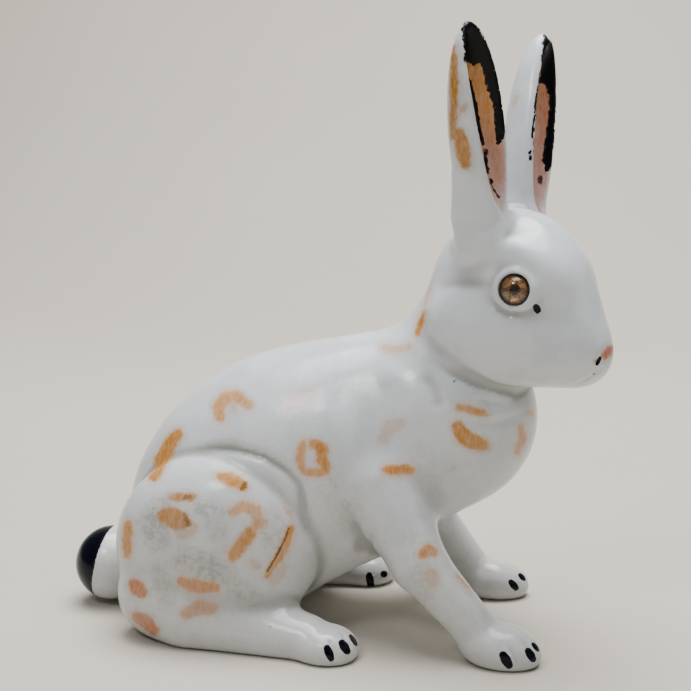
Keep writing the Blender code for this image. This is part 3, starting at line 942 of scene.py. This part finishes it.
def paint_skin(mesh):
    """Keeps the paint's edges, tints and strengths, the smudges and the painted shade on the skin's points.
    """
    skin = Skin(mesh)
    count = len(skin.points)
    paint = {name: np.zeros(count) for name in PAINT_LAYERS}
    paint["spot"] -= FURTHEST
    paint["ink"] -= FURTHEST
    for limb, half_width, tint, strength, pixels in DABS:
        for places, normal, seen in place_line(skin, limb, pixels):
            near, inside = inside_dab(skin, places, normal, seen, half_width)
            lay_on(paint, "spot", near, inside, {"spot_tint": tint, "spot_strength": strength})
    paint_ears(skin, paint)
    for limb, half_width, green, strength, dry, pixels in INKS:
        for places, normal, seen in place_line(skin, limb, pixels):
            near, inside = inside_dab(skin, places, normal, seen, half_width)
            values = {"ink_green": green, "ink_strength": strength, "ink_dry": dry}
            lay_on(paint, "ink", near, inside, values)
    # Grey smudges, and grey painted shade on the flank, back, forelegs, chest and low belly.
    for limb, half_width, strength, pixels in SMUDGES_AND_SHADE:
        for places, normal, seen in place_line(skin, limb, pixels):
            near, inside = inside_dab(skin, places, normal, seen, half_width)
            grey = strength * np.clip(inside / SMUDGE_AND_SHADE_FADE + 0.5, 0.0, 1.0)
            paint["smudge_and_shade"][near] = np.maximum(paint["smudge_and_shade"][near], grey)
    parts = to_parts(skin.points)
    tail = np.flatnonzero(parts[:, 0] < TAIL_PAINT_TOP + TAIL_MARGIN)
    edge = TAIL_PAINT_TOP - TAIL_PAINT_LEAN * (TAIL_TOP - parts[tail, 2])
    values = {"ink_green": 0.0, "ink_strength": 1.0, "ink_dry": 0.35}
    lay_on(paint, "ink", tail, (edge - parts[tail, 0]) / MM, values)
    # The painted shade in the folds, kept for the glaze's colour.
    paint["fold_shade"] = fold_shade_depths(mesh, skin)
    for name, values in paint.items():
        keep(mesh, name, np.clip(values, -FURTHEST, FURTHEST))


def fold_shade_depths(mesh, skin):
    """Painted shade in the folds, 0 to 1: how far each point lies below its neighbours' mean, spread a
    little.
    """
    edges = read_edges(mesh)
    even = relaxed(skin.points, edges, FOLD_SHADE_SPREAD)
    deep = ((even - skin.points) * skin.normals).sum(axis=1) * 1000.0
    column = np.stack([deep, deep, deep], axis=1)
    return np.clip(relaxed(column, edges, FOLD_SHADE_BLUR)[:, 0] / FOLD_SHADE_DEPTH, 0.0, 1.0)


# The glaze and the glass.


def shade(code):
    """A colour written as an sRGB hex code, as the linear colour that a shader takes."""
    parts = [int(code[place : place + 2], 16) / 255.0 for place in (0, 2, 4)]
    linear = [part / 12.92 if part <= 0.04045 else ((part + 0.055) / 1.055) ** 2.4 for part in parts]
    return (*linear, 1.0)


def add(tree, kind, inputs=None, output=0, **settings):
    """A shader node with its settings, its sockets set or linked. Gives the socket that it is used by.

    An input is another node's socket, a number, a direction or an sRGB hex code.
    """
    node = tree.nodes.new(f"ShaderNode{kind}")
    for name, value in settings.items():
        setattr(node, name, value)
    for name, value in (inputs or {}).items():
        if isinstance(value, bpy.types.NodeSocket):
            tree.links.new(value, node.inputs[name])
        elif isinstance(value, str):
            node.inputs[name].default_value = shade(value)
        else:
            node.inputs[name].default_value = value
    return node.outputs[output] if node.outputs else None


def new_material(name):
    material = bpy.data.materials.new(name)
    material.use_nodes = True
    material.node_tree.nodes.clear()
    return material, material.node_tree


# A mix of colours: its setting, the places of its share and of its two colours, and of its result.
COLOURS = {"data_type": "RGBA"}
SHARE = 0
FIRST = 6
SECOND = 7
MIXED = 2

# A range that eases in and out.
SMOOTH = {"interpolation_type": "SMOOTHSTEP"}

# The glaze's patterns: the size of a feature in mm, how many times it is doubled in fineness, and how
# strong the finer ones are.
GLAZE_PATTERNS = {
    "clouds": (29.4, 4.0, 0.6),
    "mottle": (5.26, 5.0, 0.66),
    "ragged": (2.38, 4.0, 0.65),
    "streaks": (1.43, 3.0, 0.6),
    "grain": (0.667, 3.0, 0.7),
    "waves": (16.7, 2.0, 0.4),
    "fine": (1.43, 2.0, 0.5),
}

# How much the brush's streaks are drawn out along each axis, and the spacing of pinholes in mm.
STREAK_DRAW = (1.0, 0.7, 0.28)
PINHOLE_SPACING = 5.26


def glaze_material():
    """White tin glaze fired over earthenware, painted by brush before the firing.

    To the eye: a cool milk white with thin grey clouds where the clay shows through and grey smudges;
    painted shade that darkens the folds and turns the white greyer and warmer and the dabs browner low
    down; yellow and orange dabs, darker where the colour pooled; navy brush work that is nearly black;
    and one wet gloss over all of it, with the slow waves of a glaze that ran.
    """
    material, tree = new_material("tin_glaze_over_earthenware")
    place = add(tree, "TexCoord", output="Object")
    drawn = add(tree, "VectorMath", {0: place, 1: STREAK_DRAW}, operation="MULTIPLY")
    kept = {name: add(tree, "Attribute", output="Fac", attribute_name=name) for name in PAINT_LAYERS}
    pattern = {}
    for name, (size, detail, roughness) in GLAZE_PATTERNS.items():
        where = drawn if name == "streaks" else place
        inputs = {"Vector": where, "Scale": 1000.0 / size, "Detail": detail, "Roughness": roughness}
        pattern[name] = add(tree, "TexNoise", inputs)
    white, low_shade = bare_glaze(tree, place, kept, pattern)
    wander = add(tree, "Math", {0: pattern["ragged"], 1: 0.5}, operation="SUBTRACT")
    cover, warm = warm_paint(tree, kept, pattern, wander, low_shade)
    painted = add(tree, "Mix", {SHARE: cover, FIRST: white, SECOND: warm}, MIXED, **COLOURS)
    inked = navy_paint(tree, kept, pattern, wander)
    navy = add(tree, "Mix", {SHARE: kept["ink_green"], FIRST: "030410", SECOND: "070A05"}, MIXED, **COLOURS)
    painted = add(tree, "Mix", {SHARE: inked, FIRST: painted, SECOND: navy}, MIXED, **COLOURS)

    # A wet gloss with slow waves, pinholes and a slight relief of the brush work: for each, how deep it
    # is in metres and how much of that shows.
    pits = add(tree, "TexVoronoi", {"Vector": place, "Scale": 1000.0 / PINHOLE_SPACING}, "Distance")
    pit = add(tree, "MapRange", {"Value": pits, "From Max": 0.10, "To Min": -1.0, "To Max": 0.0})
    reliefs = (
        (pattern["waves"], 0.0011, 0.5),
        (pattern["fine"], 0.00007, 0.5),
        (pit, 0.00012, 0.35),
        (inked, 0.00008, 0.6),
    )
    bump = {}
    for relief, depth, strength in reliefs:
        inputs = {"Height": relief, "Distance": depth, "Strength": strength, **bump}
        bump = {"Normal": add(tree, "Bump", inputs, "Normal")}
    spread = {"From Min": 0.3, "From Max": 0.7, "To Min": 0.14, "To Max": 0.26}
    gloss = add(tree, "MapRange", {"Value": pattern["mottle"], **spread})
    sheen = add(tree, "Math", {0: inked, 1: -0.33, 2: 0.5}, operation="MULTIPLY_ADD")
    look = {"Base Color": painted, "Roughness": gloss, "IOR": 1.5, "Specular IOR Level": sheen, **bump}
    shader = add(tree, "BsdfPrincipled", look)
    add(tree, "OutputMaterial", {"Surface": shader})
    return material


def bare_glaze(tree, place, kept, pattern):
    """The glaze's white, clouded and smudged grey, with painted shade low down and in the folds; and its low
    shade.
    """
    height = add(tree, "SeparateXYZ", {0: place}, "Z")
    # Painted shade: the white turns greyer and warmer from 15 cm above the table down to 1.5 cm.
    fade = {"From Min": 0.15, "From Max": 0.015, "To Min": 0.07, "To Max": 0.52}
    low_shade = add(tree, "MapRange", {"Value": height, **fade}, **SMOOTH)
    # Grey specks: more of them low down, as part of the painted shade, and in the smudges.
    specks_low_and_smudged = add(tree, "Math", {0: low_shade, 1: 0.35, 2: kept["smudge_and_shade"]}, operation="MULTIPLY_ADD")
    coarse = add(tree, "Math", {0: pattern["mottle"], 1: 0.5}, operation="MULTIPLY")
    specked = add(tree, "Math", {0: pattern["ragged"], 1: 0.5, 2: coarse}, operation="MULTIPLY_ADD")
    specks = add(tree, "MapRange", {"Value": specked, "From Min": 0.46, "From Max": 0.57}, **SMOOTH)
    grey = add(tree, "Math", {0: specks, 1: specks_low_and_smudged}, operation="MULTIPLY")
    grey = add(tree, "Math", {0: grey, 1: 0.58}, operation="MULTIPLY")
    # A warm grey over the smudges and, as painted shade, low down.
    smudge_and_low_shade = add(tree, "Math", {0: kept["smudge_and_shade"], 1: 0.42, 2: low_shade}, operation="MULTIPLY_ADD")
    # Painted shade in the folds, from how deep each point lies.
    crease_shade = add(tree, "Math", {0: kept["fold_shade"], 1: 0.6}, operation="MULTIPLY")
    cloud = add(tree, "MapRange", {"Value": pattern["clouds"], "From Min": 0.42, "From Max": 0.66}, **SMOOTH)
    white = add(tree, "Mix", {SHARE: cloud, FIRST: "D8DCE1", SECOND: "C9CFD4"}, MIXED, **COLOURS)
    # Mixed into the white in turn: the smudges with the low painted shade, the grey specks, and the painted
    # shade in the folds.
    for share, tinge in ((smudge_and_low_shade, "B3B0A7"), (grey, "8A9095"), (crease_shade, "7D7E74")):
        white = add(tree, "Mix", {SHARE: share, FIRST: white, SECOND: tinge}, MIXED, **COLOURS)
    return white, low_shade


def warm_paint(tree, kept, pattern, wander, low_shade):
    """Yellow, orange and reddish dabs: thin at the edge, pooled in streaks within, haloed by stain, and with
    painted shade low down.
    """
    edge = add(tree, "Math", {0: wander, 1: 3.0, 2: kept["spot"]}, operation="MULTIPLY_ADD")
    dab = add(tree, "MapRange", {"Value": edge, "From Min": -1.1, "From Max": 1.4}, **SMOOTH)
    streaked = {"From Min": 0.36, "From Max": 0.60, "To Min": 0.88, "To Max": 1.0}
    mottled = {"From Min": 0.50, "From Max": 0.66, "To Min": 1.0, "To Max": 0.86}
    for name, thinning in (("streaks", streaked), ("mottle", mottled)):
        thick = add(tree, "MapRange", {"Value": pattern[name], **thinning}, **SMOOTH)
        dab = add(tree, "Math", {0: dab, 1: thick}, operation="MULTIPLY")
    tinge = {"From Min": -3.0, "From Max": 0.2, "To Max": 0.26}
    halo = add(tree, "MapRange", {"Value": edge, **tinge}, **SMOOTH)
    cover = add(tree, "Math", {0: dab, 1: halo}, operation="MAXIMUM")
    cover = add(tree, "Math", {0: cover, 1: kept["spot_strength"]}, operation="MULTIPLY")
    orange = add(tree, "MapRange", {"Value": kept["spot_tint"], "From Max": 0.5})
    rose = add(tree, "MapRange", {"Value": kept["spot_tint"], "From Min": 0.5})
    warm = add(tree, "Mix", {SHARE: orange, FIRST: "AA7614", SECOND: "D9963A"}, MIXED, **COLOURS)
    pooling = {"From Min": 0.46, "From Max": 0.64, "To Min": 0.45}
    pooled = add(tree, "MapRange", {"Value": pattern["streaks"], **pooling}, **SMOOTH)
    deepening = {"From Min": 0.2, "From Max": 2.4, "To Max": 0.55}
    inside = add(tree, "MapRange", {"Value": edge, **deepening}, **SMOOTH)
    pooled = add(tree, "Math", {0: pooled, 1: inside}, operation="MULTIPLY")
    # Painted shade: the dabs turn browner and darker low down.
    low_shade_on_dabs = add(tree, "Math", {0: low_shade, 1: 0.6}, operation="MULTIPLY")
    for share, colour in ((rose, "BC735A"), (pooled, "AA6418"), (low_shade_on_dabs, "875836")):
        warm = add(tree, "Mix", {SHARE: share, FIRST: warm, SECOND: colour}, MIXED, **COLOURS)
    return cover, warm


def navy_paint(tree, kept, pattern, wander):
    """How much navy, almost black, lies on the glaze: broken where the brush was dry."""
    dryness = add(tree, "Math", {0: kept["ink_dry"], 1: 3.4, 2: 0.5}, operation="MULTIPLY_ADD")
    edge = add(tree, "Math", {0: wander, 1: dryness, 2: kept["ink"]}, operation="MULTIPLY_ADD")
    inked = add(tree, "MapRange", {"Value": edge, "From Min": -0.15, "From Max": 0.15}, **SMOOTH)
    specks = add(tree, "MapRange", {"Value": pattern["grain"], "From Min": 0.60, "From Max": 0.66}, **SMOOTH)
    specks = add(tree, "Math", {0: specks, 1: kept["ink_dry"]}, operation="MULTIPLY")
    rim = {"From Min": 0.2, "From Max": 1.5, "To Min": 1.0, "To Max": 0.0}
    near_rim = add(tree, "MapRange", {"Value": edge, **rim}, **SMOOTH)
    specks = add(tree, "Math", {0: specks, 1: near_rim}, operation="MULTIPLY")
    whole = add(tree, "Math", {0: 1.0, 1: specks}, operation="SUBTRACT")
    inked = add(tree, "Math", {0: inked, 1: whole}, operation="MULTIPLY")
    return add(tree, "Math", {0: inked, 1: kept["ink_strength"]}, operation="MULTIPLY")


def glass_material():
    """Clear pressed glass: it shows the iris through it and carries small bright reflections.

    Its slow ripple has one wave in two millimetres.
    """
    material, tree = new_material("clear_pressed_glass")
    place = add(tree, "Attribute", output="Vector", attribute_name="eye_place")
    ripple = add(tree, "TexNoise", {"Vector": place, "Scale": 0.5, "Detail": 1.0, "Roughness": 0.6})
    bump = add(tree, "Bump", {"Height": ripple, "Distance": 0.00002, "Strength": 0.2}, "Normal")
    look = {"Base Color": "FFF1DA", "Roughness": 0.05, "IOR": 1.62, "Transmission Weight": 1.0}
    shader = add(tree, "BsdfPrincipled", {**look, "Normal": bump})
    add(tree, "OutputMaterial", {"Surface": shader})
    return material


def iris_material():
    """Enamel on the back of a glass eye: gold over brown, in flakes and rays, with a dark rim and pupil.

    Flakes and flecks are about a millimetre wide; radii are in millimetres from the eye's axis.
    """
    material, tree = new_material("painted_iris_enamel")
    place = add(tree, "Attribute", output="Vector", attribute_name="eye_place")
    out = add(tree, "VectorMath", {0: place}, "Value", operation="LENGTH")
    way = add(tree, "VectorMath", {0: place}, operation="NORMALIZE")
    rays = add(tree, "TexNoise", {"Vector": way, "Scale": 4.5, "Detail": 4.0, "Roughness": 0.6})
    flecks = add(tree, "TexNoise", {"Vector": place, "Scale": 1.1, "Detail": 4.0, "Roughness": 0.7})
    flakes = add(tree, "TexVoronoi", {"Vector": place, "Scale": 0.75}, "Color")
    flake = add(tree, "SeparateColor", {0: flakes})
    off = add(tree, "Math", {0: flecks, 1: 0.5}, operation="SUBTRACT")
    radius = add(tree, "Math", {0: off, 1: 2.4, 2: out}, operation="MULTIPLY_ADD")
    ray = add(tree, "MapRange", {"Value": rays, "From Min": 0.40, "From Max": 0.60}, **SMOOTH)
    amber = add(tree, "Mix", {SHARE: ray, FIRST: "A87A46", SECOND: "6A4222"}, MIXED, **COLOURS)
    layers = (
        (flake, {"From Min": 0.45, "From Max": 0.9, "To Max": 0.6}, "C8A074"),
        (flecks, {"From Min": 0.54, "From Max": 0.68, "To Max": 0.8}, "E4CFAE"),
        (radius, {"From Min": 4.3, "From Max": 6.2}, "3B1D0C"),
        (radius, {"From Min": 1.3, "From Max": 2.4, "To Min": 1.0, "To Max": 0.0}, "2A1A08"),
    )
    for value, bounds, colour in layers:
        share = add(tree, "MapRange", {"Value": value, **bounds}, **SMOOTH)
        amber = add(tree, "Mix", {SHARE: share, FIRST: amber, SECOND: colour}, MIXED, **COLOURS)
    shader = add(tree, "BsdfPrincipled", {"Base Color": amber, "Roughness": 0.28, "Metallic": 0.45})
    add(tree, "OutputMaterial", {"Surface": shader})
    return material


# The eyes.

AROUND = 96
DOME_STEPS = 18
CORNER_STEPS = 5
IRIS_RINGS = 9
BACK_ROUNDING = 0.0003
IRIS_INSET = 0.0006
IRIS_LIFT = 0.0006
IRIS_THICKNESS = 0.0005
IRIS_EDGE = 0.0001


def lathed(name, profile, seat, base):
    """A closed turned piece: its outline of (radius, height) pairs, swept round the eye's axis.

    A point is base + radius (cos t, sin t) across the axis + height along it, all in metres. The
    outline starts and ends on the axis.
    """
    place, axes = seat
    outline = np.array(profile)
    angle = np.arange(AROUND) * 2.0 * math.pi / AROUND
    rings = outline[1:-1]
    local = np.empty((len(rings), AROUND, 3))
    local[..., 0] = rings[:, :1] * np.cos(angle)
    local[..., 1] = rings[:, :1] * np.sin(angle)
    local[..., 2] = rings[:, 1:]
    ends = np.array([(0.0, 0.0, outline[0, 1]), (0.0, 0.0, outline[-1, 1])])
    local = np.concatenate([local.reshape(-1, 3), ends])
    points = to_metres(place) + axes[:, 2] * base + local @ axes.T
    first = np.arange(AROUND)
    after = (first + 1) % AROUND
    steps = np.arange(len(rings) - 1)[:, None] * AROUND
    quads = np.stack([steps + first, steps + after, steps + AROUND + after, steps + AROUND + first], axis=-1)
    start = np.stack([after, first, np.full(AROUND, len(points) - 2)], axis=-1)
    last = (len(rings) - 1) * AROUND
    end = np.stack([last + first, last + after, np.full(AROUND, len(points) - 1)], axis=-1)
    mesh = bpy.data.meshes.new(name)
    mesh.from_pydata(points.tolist(), [], quads.reshape(-1, 4).tolist() + start.tolist() + end.tolist())
    layer = mesh.attributes.new("eye_place", "FLOAT_VECTOR", "POINT")
    flat = local * np.array((1000.0, 1000.0, 0.0))
    layer.data.foreach_set("vector", flat.ravel())
    mesh.validate()
    mesh.shade_smooth()
    piece = bpy.data.objects.new(name, mesh)
    bpy.context.scene.collection.objects.link(piece)
    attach(piece, BODY)
    return piece


def dome_outline(radius):
    """The glass: a flat back with a rounded edge, a short wall and a spherical dome."""
    sphere = (radius**2 + EYE_DOME_HEIGHT**2) / (2 * EYE_DOME_HEIGHT)
    sweep = np.linspace(math.asin(radius / sphere), 0.0, DOME_STEPS)
    corner = np.linspace(0.0, math.pi / 2, CORNER_STEPS)
    outline = [(0.0, 0.0), (radius * 0.5, 0.0)]
    outline += [
        (radius - BACK_ROUNDING * (1 - math.sin(turn)), BACK_ROUNDING * (1 - math.cos(turn)))
        for turn in corner
    ]
    centre = EYE_EDGE_THICKNESS + EYE_DOME_HEIGHT - sphere
    outline += [(sphere * math.sin(turn), centre + sphere * math.cos(turn)) for turn in sweep[:-1]]
    outline += [(0.0, EYE_EDGE_THICKNESS + EYE_DOME_HEIGHT)]
    return outline


def iris_outline(radius):
    """The enamel disc: thin, flat, its edge rounded by one step."""
    reach = radius - IRIS_INSET
    steps = np.linspace(0.2, 1.0, IRIS_RINGS) * reach
    outline = [(0.0, 0.0), (reach * 0.5, 0.0), (reach - IRIS_EDGE, 0.0), (reach, IRIS_EDGE)]
    outline += [(reach, IRIS_THICKNESS - IRIS_EDGE)]
    outline += [(step, IRIS_THICKNESS) for step in steps[::-1][1:]]
    outline += [(0.0, IRIS_THICKNESS)]
    return outline


def make_eyes():
    glass = glass_material()
    iris = iris_material()
    back = EYE_STANDS_PROUD - EYE_DOME_HEIGHT - EYE_EDGE_THICKNESS
    for side, seat in SEATS.items():
        dome = lathed(f"eye_{side}_glass", dome_outline(EYE_DIAMETER / 2), seat, back)
        dome.data.materials.append(glass)
        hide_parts(f"eye_{side}")
        disc = lathed(f"eye_{side}_iris", iris_outline(EYE_DIAMETER / 2), seat, back + IRIS_LIFT)
        disc.data.materials.append(iris)


def make_rabbit():
    rabbit = even_skin("rabbit_glazed")
    shape_skin(rabbit)
    work_lines(rabbit.data)
    paint_skin(rabbit.data)
    rabbit.data.materials.append(glaze_material())
    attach(rabbit, BODY)
    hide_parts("rabbit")


# The studio: how far the floor reaches, where it begins to sweep up and how tightly, and the wall's top.

FLOOR_REACH = 3.0
SWEEP_START = 0.9
SWEEP_RADIUS = 0.9
WALL_HEIGHT = 2.6


def make_floor():
    """A plain pale table that sweeps up behind the rabbit into a plain pale wall.

    Its side view is a level run, a quarter circle and an upright run, carried straight across.
    """
    turn = np.linspace(0.0, math.pi / 2, 17)
    run = [(-FLOOR_REACH, 0.0)]
    run += [(SWEEP_START + SWEEP_RADIUS * math.sin(a), SWEEP_RADIUS * (1.0 - math.cos(a))) for a in turn]
    run += [(SWEEP_START + SWEEP_RADIUS, WALL_HEIGHT)]
    side = np.array(run)
    points = np.empty((len(side), 2, 3))
    points[:, 0, 0] = -FLOOR_REACH
    points[:, 1, 0] = FLOOR_REACH
    points[:, :, 1:] = side[:, None, :]
    first = np.arange(len(side) - 1) * 2
    quads = np.stack([first, first + 1, first + 3, first + 2], axis=1)
    mesh = bpy.data.meshes.new("floor")
    mesh.from_pydata(points.reshape(-1, 3).tolist(), [], quads.tolist())
    mesh.shade_smooth()
    floor = bpy.data.objects.new("floor", mesh)
    bpy.context.scene.collection.objects.link(floor)
    material, tree = new_material("pale_table")
    place = add(tree, "TexCoord", output="Object")
    cloud = add(tree, "TexNoise", {"Vector": place, "Scale": 3.0, "Detail": 3.0, "Roughness": 0.6})
    paper = add(tree, "Mix", {SHARE: cloud, FIRST: "C4BEB2", SECOND: "BCB6AA"}, MIXED, **COLOURS)
    shader = add(tree, "BsdfPrincipled", {"Base Color": paper, "Roughness": 0.9})
    add(tree, "OutputMaterial", {"Surface": shader})
    mesh.materials.append(material)


def make_light(name, place, size, power, aim_at):
    """A round soft light that faces the place given."""
    data = bpy.data.lights.new(name, "AREA")
    data.shape = "DISK"
    data.size = size
    data.energy = power
    light = bpy.data.objects.new(name, data)
    light.location = place
    aim = Vector(aim_at) - Vector(place)
    light.rotation_euler = aim.to_track_quat("-Z", "Y").to_euler()
    bpy.context.scene.collection.objects.link(light)


def make_world():
    world = bpy.data.worlds.new("pale_room")
    world.use_nodes = True
    world.node_tree.nodes.clear()
    glow = add(world.node_tree, "Background", {"Color": "EEF4FF", "Strength": 0.17})
    add(world.node_tree, "OutputWorld", {"Surface": glow})
    bpy.context.scene.world = world


def make_camera():
    """The photograph's camera."""
    lens, right, up, forward = camera_axes()
    data = bpy.data.cameras.new("camera")
    data.sensor_width = SENSOR_MM
    data.lens = LENS_PIXELS * SENSOR_MM / IMAGE
    data.clip_start = 0.01
    data.clip_end = 20.0
    camera = bpy.data.objects.new("camera", data)
    stance = Matrix.Identity(4)
    for column, axis in enumerate((right, up, -forward)):
        for row in range(3):
            stance[row][column] = axis[row]
    stance.translation = Vector(lens + SHIFT)
    camera.matrix_world = stance
    bpy.context.scene.collection.objects.link(camera)
    bpy.context.scene.camera = camera


# The lights: their name, place and width in metres, power in watts and the place they face.
RABBIT_MIDDLE = (0.0, 0.0, AIM_HEIGHT)
LIGHTS = (
    ("skylight", (0.05, 0.00, 1.70), 1.5, 39.5, RABBIT_MIDDLE),
    ("window", (-0.35, -0.82, 1.05), 0.34, 4.0, RABBIT_MIDDLE),
    ("room", (1.5, -0.5, 0.8), 1.0, 1.3, RABBIT_MIDDLE),
    ("backdrop", (0.0, 0.6, 2.2), 1.6, 62.0, (0.0, 1.8, 0.5)),
)

make_camera()
make_rabbit()
make_eyes()
make_floor()
make_world()
for light in LIGHTS:
    make_light(*light)
